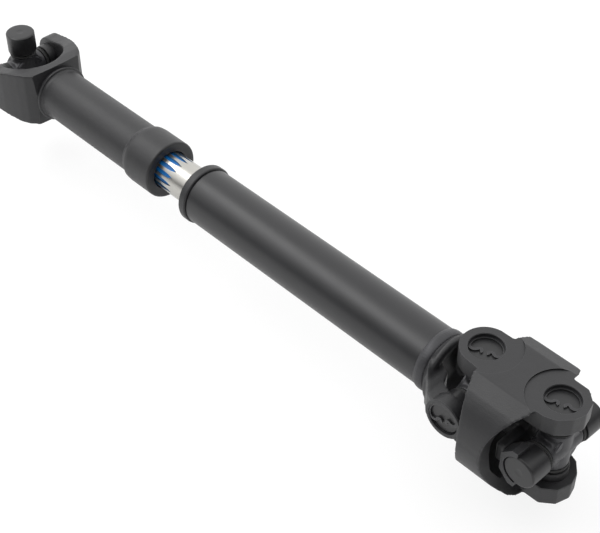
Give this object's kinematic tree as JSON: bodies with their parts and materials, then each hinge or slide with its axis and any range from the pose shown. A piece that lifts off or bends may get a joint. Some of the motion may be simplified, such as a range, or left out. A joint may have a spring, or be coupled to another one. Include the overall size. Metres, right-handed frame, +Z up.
{
  "type": "universal joint shaft",
  "caption": "Tubular drive shaft with a splined slip yoke and single cross joint at one end and a centred double cross joint at the other.",
  "frame": {"origin": "centre of the single joint's cross", "axes": "+X along the shaft from the single joint to the double joint, +Z up along the single cross's free trunnions, +Y along the trunnions held by the slip yoke's ears"},
  "size_m": [0.6929, 0.106, 0.094],
  "materials": {
    "black_paint": "satin black paint over forged and drawn steel",
    "cap_black": "smooth satin black",
    "bare_steel": "ground bare steel",
    "blue_coating": "blue low-friction nylon coating",
    "forged_grey": "dark forged steel",
    "spring_steel": "dark phosphated spring steel",
    "needle_steel": "polished hardened steel",
    "zinc": "bright zinc plate",
    "seal_rubber": "matte black rubber",
    "seat_nylon": "natural nylon"
  },
  "bodies": {
    "shaft": {"main_tube": "black_paint", "stub_shaft": "bare_steel", "spline_coating": "blue_coating", "stub_weld_bead": "black_paint", "tube_yoke": "black_paint", "yoke_weld_bead": "black_paint", "ball_stud": "needle_steel", "centring_ball": "needle_steel", "tube_yoke_caps": "cap_black", "tube_yoke_snap_rings": "spring_steel", "tube_yoke_needles": "needle_steel"},
    "slip": {"slip_yoke": "black_paint", "barrel_plug": "black_paint", "seal_housing": "black_paint", "slip_seal": "seal_rubber", "slip_yoke_caps": "cap_black", "slip_yoke_snap_rings": "spring_steel", "slip_yoke_needles": "needle_steel"},
    "single_joint_cross": {"single_cross": "forged_grey", "single_cross_seals": "seal_rubber", "single_cross_nipple": "zinc"},
    "upper_cap": {"upper_free_cap": "cap_black", "upper_cap_needles": "needle_steel"},
    "lower_cap": {"lower_free_cap": "cap_black", "lower_cap_needles": "needle_steel"},
    "inboard_joint_cross": {"inboard_cross": "forged_grey", "inboard_cross_seals": "seal_rubber", "inboard_cross_nipple": "zinc"},
    "centre": {"centre_yoke": "black_paint", "centre_yoke_caps": "cap_black", "centre_yoke_snap_rings": "spring_steel", "centre_yoke_needles": "needle_steel"},
    "outboard_joint_cross": {"outboard_cross": "forged_grey", "outboard_cross_seals": "seal_rubber", "outboard_cross_nipple": "zinc"},
    "centring": {"centring_yoke": "black_paint", "ball_seats": "seat_nylon", "seat_washer": "zinc", "centring_spring": "spring_steel", "socket_seal": "seal_rubber", "outer_free_caps": "cap_black", "outer_cap_needles": "needle_steel"}
  },
  "joints": [
    {"name": "spline_slide", "type": "slide", "parent": "shaft", "child": "slip", "axis": [1, 0, 0], "range_m": [-0.05, 0.036]},
    {"name": "single_joint_pitch", "type": "hinge", "parent": "slip", "child": "single_joint_cross", "pos_m": [0, 0, 0], "axis": [0, 1, 0], "range_deg": [-40, 40]},
    {"name": "upper_cap_turn", "type": "hinge", "parent": "single_joint_cross", "child": "upper_cap", "pos_m": [0, 0, 0.0312], "axis": [0, 0, 1], "continuous": true},
    {"name": "lower_cap_turn", "type": "hinge", "parent": "single_joint_cross", "child": "lower_cap", "pos_m": [0, 0, -0.0312], "axis": [0, 0, 1], "continuous": true},
    {"name": "double_joint_pitch", "type": "hinge", "parent": "shaft", "child": "inboard_joint_cross", "pos_m": [0.5815, 0, 0], "axis": [0, 1, 0], "range_deg": [-10, 10]},
    {"name": "double_joint_yaw", "type": "hinge", "parent": "inboard_joint_cross", "child": "centre", "pos_m": [0.5815, 0, 0], "axis": [0, 0, 1], "range_deg": [-10, 10]},
    {"name": "outboard_yaw", "type": "hinge", "parent": "centre", "child": "outboard_joint_cross", "pos_m": [0.651, 0, 0], "axis": [0, 0, 1], "range_deg": [-10, 10]},
    {"name": "outboard_pitch", "type": "hinge", "parent": "outboard_joint_cross", "child": "centring", "pos_m": [0.651, 0, 0], "axis": [0, 1, 0], "range_deg": [-10, 10]}
  ],
  "couplings": [
    {"joint": "outboard_yaw", "follows": "double_joint_yaw", "ratio": 1},
    {"joint": "outboard_pitch", "follows": "double_joint_pitch", "ratio": 1}
  ]
}
